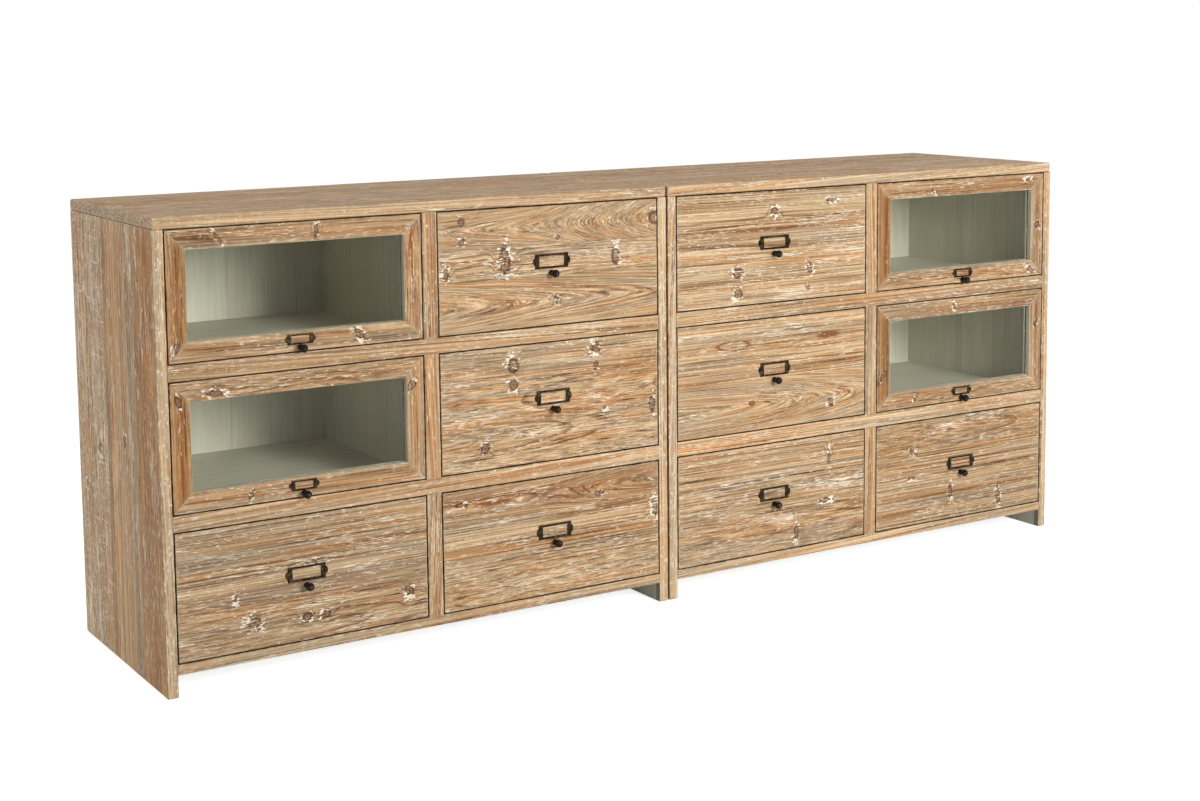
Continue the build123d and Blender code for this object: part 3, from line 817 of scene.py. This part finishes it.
FRONT_STEP = 0.02
MEMBER_STEP = 0.012
MEMBER_LOOKS = ((-2.2, 1.6, 0.2), (-2.8, 1.8, 0.3), (-4.2, 4.4, -0.6), (-2.4, 2.0, 0.0))
PLANKS = {
    "left_outer_drawer": ((44, -1.9, -0.2, 0.5), (56, -1.8, -0.4, 0.6)),
    "left_upper_drawer": (
        (42, 0.2, 0.3, -0.4, 0.15, 0.1, 1.0),
        (26, 0.5, -0.1, 0.6),
        (32, -0.8, 0.6, 0.2, -0.06, -0.5, 1.6),
    ),
    "left_middle_drawer": ((34, 0.0, 0.1, 0.4), (36, 0.4, 0.3, 0.3), (30, -0.6, 0.2, 0.7)),
    "left_lower_drawer": (
        (36, 0.0, -0.2, 0.7),
        (36, 0.1, -0.2, 0.6),
        (28, -2.6, 2.4, 0.3, -0.03, -0.12, 1.2),
    ),
    "right_outer_drawer": ((36, -1.0, 0.0, 0.4), (34, -0.7, 0.2, 0.4), (30, -1.8, 1.1, 0.2)),
    "right_upper_drawer": ((38, 0.8, -0.4, 0.5), (30, 1.1, -0.6, 0.6), (32, 1.0, -0.5, 0.5)),
    "right_middle_drawer": ((46, 0.9, 0.2, 0.1, 0.05, 0.2, 1.2), (54, 1.0, 0.2, 0.4)),
    "right_lower_drawer": ((35, -0.2, 0.0, 0.5), (31, -0.5, -0.2, 0.7), (34, -0.1, 0.0, 0.5)),
}
KNOTS = {
    "left_outer_drawer": (
        (0.29, 0.21, 0.012, 0.009), (0.50, 0.18, 0.009, 0.007), (0.57, 0.18, 0.010, 0.006),
        (0.92, 0.25, 0.008, 0.010), (0.22, 0.42, 0.004, 0.007), (0.53, 0.62, 0.014, 0.004),
    ),
    "left_upper_drawer": (
        (0.29, 0.57, 0.010, 0.024), (0.80, 0.54, 0.008, 0.014), (0.10, 0.91, 0.006, 0.007),
        (0.10, 0.75, 0.006, 0.006), (0.03, 0.50, 0.006, 0.010), (0.52, 0.21, 0.005, 0.006),
        (0.99, 0.84, 0.012, 0.012), (0.53, 0.73, 0.005, 0.004),
    ),
    "left_middle_drawer": (
        (0.32, 0.84, 0.010, 0.012), (0.32, 0.68, 0.008, 0.012), (0.70, 0.91, 0.009, 0.010),
        (0.70, 0.76, 0.005, 0.007), (0.19, 0.18, 0.008, 0.009), (0.37, 0.26, 0.006, 0.004),
        (0.97, 0.37, 0.006, 0.014), (0.74, 0.38, 0.004, 0.004),
    ),
    "left_lower_drawer": (
        (0.55, 0.84, 0.050, -0.012), (0.98, 0.60, 0.006, 0.016), (0.08, 0.88, 0.010, 0.004),
        (0.71, 0.80, 0.010, 0.004),
    ),
    "right_outer_drawer": (
        (0.21, 0.72, 0.006, 0.006), (0.44, 0.26, 0.005, 0.014), (0.74, 0.14, 0.006, 0.018),
        (0.21, 0.46, 0.010, 0.004),
    ),
    "right_upper_drawer": (
        (0.31, 0.29, 0.011, 0.009), (0.69, 0.28, 0.008, 0.009), (0.50, 0.82, 0.008, 0.007),
        (0.31, 0.10, 0.009, 0.009), (0.68, 0.11, 0.005, 0.005), (0.81, 0.88, 0.012, 0.004),
    ),
    "right_middle_drawer": (
        (0.29, 0.80, 0.040, -0.008), (0.80, 0.80, 0.045, -0.008), (0.81, 0.16, 0.007, 0.008),
        (0.38, 0.25, 0.006, 0.004), (0.46, 0.31, 0.020, -0.005),
    ),
    "right_lower_drawer": (
        (0.62, 0.14, 0.005, 0.016), (0.80, 0.79, 0.004, 0.014), (0.78, 0.39, 0.014, 0.005),
    ),
    "left_upper_flap": (
        ((0.76, 0.6, 0.007, 0.010),),
        ((0.17, 0.5, 0.003, 0.010), (0.58, 0.5, 0.004, 0.011)),
        ((0.06, 0.4, 0.010, 0.006),),
        (),
    ),
    "left_lower_flap": (
        ((0.28, 0.5, 0.004, 0.008),),
        ((0.13, 0.3, 0.016, 0.005),),
        ((0.9, 0.4, 0.010, 0.005),),
        ((0.86, 0.3, 0.010, 0.008),),
    ),
    "right_upper_flap": (
        ((0.95, 0.4, 0.008, 0.007),),
        ((0.3, 0.3, 0.004, 0.006), (0.92, 0.7, 0.008, 0.005)),
        (),
        ((0.5, 0.5, 0.008, 0.006),),
    ),
    "right_lower_flap": (
        ((0.2, 0.5, 0.005, 0.006),),
        ((0.45, 0.5, 0.005, 0.007),),
        ((0.3, 0.4, 0.008, 0.005),),
        ((0.7, 0.5, 0.008, 0.005),),
    ),
}


def drawer(body, unit, column, row, planks, knots, seed):
    """A front of glued planks and a plain box behind it.

    planks holds the planks from the bottom up: the share of the front's height, tone, warmth and lime, and
    where the grain is flamed, the slopes of the flames in the left and the right half and how close they lie.
    """
    shares = np.cumsum([plank[0] for plank in planks])
    seams, looks = list(shares[:-1] / shares[-1]), [plank[1:4] for plank in planks]
    flames = {number: plank[4:] for number, plank in enumerate(planks) if len(plank) > 4}
    x_span, z_span = opening(unit, column, row)
    width = inset(x_span, GAP)
    start = CASE_FRONT + FRONT_THICKNESS
    spans = (width, (CASE_FRONT, start), inset(z_span, GAP))
    # The faces round the drawer front take painted shade behind its front edge, for the shadow in the gaps
    front = board(
        spans, (X, Z, Y), FRONT_ROUNDING, seed, seams, step=FRONT_STEP, looks=looks, knots=knots,
        flames=flames, gap_shade=(*DRAWER_GAP_SHADE, None)
    )
    piece(f"{body}_front_boards", [front], (PINE, PAINT), body, f"{body}_front")

    low, high = z_span[0] + BOX_CLEARANCE, z_span[1] - BOX_HEADROOM
    cavity = inset(width, BOX_SIDE)
    bottom = tuple(low + level - BOX_CLEARANCE for level in BOX_BOTTOM)
    left = ((width[0], cavity[0]), (start, BOX_END), (low, high))
    right = ((cavity[1], width[1]), (start, BOX_END), (low, high))
    back = (cavity, (BOX_END - BOX_SIDE, BOX_END), (bottom[1], high))
    base = (cavity, (start, BOX_END), bottom)
    box = [
        board(left, (Y, Z, X), BOX_ROUNDING, seed + 1, (0.55,), soft=(X, Z)),
        board(right, (Y, Z, X), BOX_ROUNDING, seed + 2, (0.45,), soft=(X, Z)),
        board(back, (X, Z, Y), BOX_ROUNDING, seed + 3, soft=(Y, Z)),
        board(base, (X, Y, Z), BOTTOM_ROUNDING, seed + 4, (0.33, 0.66), soft=()),
    ]
    piece(f"{body}_box_boards", box, (PLAIN, PAINT), body, f"{body}_box")


def flap(body, unit, column, row, knots, seed):
    """A frame of four mitred members, each with a lip and a bead that hold the glass.

    knots holds the knots of the bottom, top, left and right member.
    """
    x_span, z_span = (inset(span, GAP) for span in opening(unit, column, row))
    lip = MEMBER - GLASS_REBATE
    pane_x, pane_z = inset(x_span, lip), inset(z_span, lip)
    # The outer sides of the frame members take painted shade, for the shadow in the gap round the flap
    layers = (
        (x_span, z_span, MEMBER, (0, GLASS_SETBACK), MEMBER_ROUNDING, FLAP_GAP_SHADE),
        (x_span, z_span, lip, (GLASS_SETBACK, FRONT_THICKNESS), LIP_ROUNDING, 0.0),
        (pane_x, pane_z, GLASS_REBATE, (GLASS_BACK, FRONT_THICKNESS), BEAD_ROUNDING, 0.0),
    )
    boards = []
    for xs, zs, wide, depth, rounding, gap_shade_share in layers:
        y_span = (CASE_FRONT + depth[0], CASE_FRONT + depth[1])
        members = (
            ((xs, y_span, (zs[0], zs[0] + wide)), (X, Z, Y), -1),
            ((xs, y_span, (zs[1] - wide, zs[1])), (X, Z, Y), 1),
            (((xs[0], xs[0] + wide), y_span, zs), (Z, X, Y), -1),
            (((xs[1] - wide, xs[1]), y_span, zs), (Z, X, Y), 1),
        )
        for number, (spans, axes, outer) in enumerate(members):
            outer_side = 2 * axes[1] + (1 if outer > 0 else 0)
            inner_side = 2 * axes[1] + (0 if outer > 0 else 1)
            member = board(
                spans, axes, rounding, seed + number, soft=axes[1:], step=MEMBER_STEP, mitre=outer,
                looks=(MEMBER_LOOKS[number],), paint=((inner_side, {}),), knots=knots[number],
                gap_shade=(gap_shade_share, NO_GAP_SHADE[1], outer_side)
            )
            boards.append(member)
    piece(f"{body}_frame_members", boards, (PINE, PAINT), body, f"{body}_frame")


for unit in UNITS:
    for name, (column, row) in DRAWERS.items():
        seed += 10
        body = f"{unit}_{name}"
        drawer(body, unit, column, row, PLANKS[body], KNOTS[body], seed)
    for name, (column, row) in FLAPS.items():
        seed += 10
        body = f"{unit}_{name}"
        flap(body, unit, column, row, KNOTS[body], seed)

# Fittings kept from the CAD, by the ends of their names

FITTINGS = {
    "_knob": KNOB_BRONZE,
    "_label_holder": BRONZE,
    "_glass": GLASS,
    "pivots": STEEL,
    "bolts": STEEL,
    "stops": PLAIN,
}
for name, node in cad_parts.items():
    for ending, finish in FITTINGS.items():
        if name.endswith(ending):
            node.data.materials.clear()
            node.data.materials.append(finish)

# Floor, light and camera

WHITE = (1.0, 1.0, 1.0, 1.0)
FLOOR_GREY = (0.8, 0.8, 0.8, 1.0)
FLOOR_REACH = 30.0
FLOOR_GLOW = 0.76
SKY_LIGHT = 0.34
LAMPS = (
    ("key_light", (0.6, -3.6, 1.45), (0.0, 0.0, 0.4), 1.2, 92.0),
    ("side_light", (-4.6, 0.4, 1.4), (-1.0, 0.0, 0.4), 2.0, 42.0),
    ("right_light", (4.2, 2.2, 0.9), (0.8, 0.2, 0.4), 1.4, 36.0),
    ("top_light", (0.2, 0.6, 3.6), (0.0, 0.0, 0.8), 2.6, 25.0),
)
CAMERA_PLACE = (-1.9991, -3.1760, 1.0926)
CAMERA_ANGLES = (31.955, 6.386, -0.559)
LENS_LENGTH = 57.071
LENS_SHIFT = -0.13
SENSOR_WIDTH = 36.0


def lamp(name, place, target, size, power):
    """A square area light at a place, facing a target."""
    light = bpy.data.lights.new(name, "AREA")
    light.size, light.energy = size, power
    made = bpy.data.objects.new(name, light)
    bpy.context.scene.collection.objects.link(made)
    made.location = place
    made.rotation_euler = (Vector(target) - Vector(place)).to_track_quat("-Z", "Y").to_euler()


def studio():
    """A white floor and background, a soft key light from the front, and fills from both sides and above."""
    scene = bpy.context.scene
    mesh = bpy.data.meshes.new("studio_floor")
    corners = [(x * FLOOR_REACH, y * FLOOR_REACH, 0) for x, y in ((-1, -1), (1, -1), (1, 1), (-1, 1))]
    mesh.from_pydata(corners, [], [(0, 1, 2, 3)])
    floor = bpy.data.objects.new("studio_floor", mesh)
    scene.collection.objects.link(floor)
    f = Finish("studio_floor_white")
    glow = f.times(f.seen_directly(), FLOOR_GLOW)
    white_floor = f.close(
        Base_Color=FLOOR_GREY, Roughness=0.9, Specular_IOR_Level=0.0, Emission_Color=WHITE,
        Emission_Strength=glow
    )
    mesh.materials.append(white_floor)

    world = bpy.data.worlds.new("studio_white")
    scene.world = world
    world.use_nodes = True
    sky = Nodes(world.node_tree)
    strength = sky.rise(sky.seen_directly(), 0.0, 1.0, SKY_LIGHT, 1.0)
    background = sky.node("ShaderNodeBackground", {"Color": WHITE, "Strength": strength})
    sky.node("ShaderNodeOutputWorld", {0: background.outputs[0]})

    for settings in LAMPS:
        lamp(*settings)


def photo_camera():
    """The camera of the photograph, fitted to the corners of the boards."""
    scene = bpy.context.scene
    lens = bpy.data.cameras.new("photo_camera")
    lens.lens, lens.sensor_width = LENS_LENGTH, SENSOR_WIDTH
    lens.shift_y = LENS_SHIFT
    made = bpy.data.objects.new("photo_camera", lens)
    scene.collection.objects.link(made)
    yaw, pitch, roll = (math.radians(angle) for angle in CAMERA_ANGLES)
    turn = Matrix.Rotation(-yaw, 4, "Z") @ Matrix.Rotation(math.pi / 2 - pitch, 4, "X")
    turn = turn @ Matrix.Rotation(roll, 4, "Z")
    made.matrix_world = Matrix.Translation(CAMERA_PLACE) @ turn
    scene.camera = made


studio()
photo_camera()
bpy.context.scene.view_settings.view_transform = "Standard"
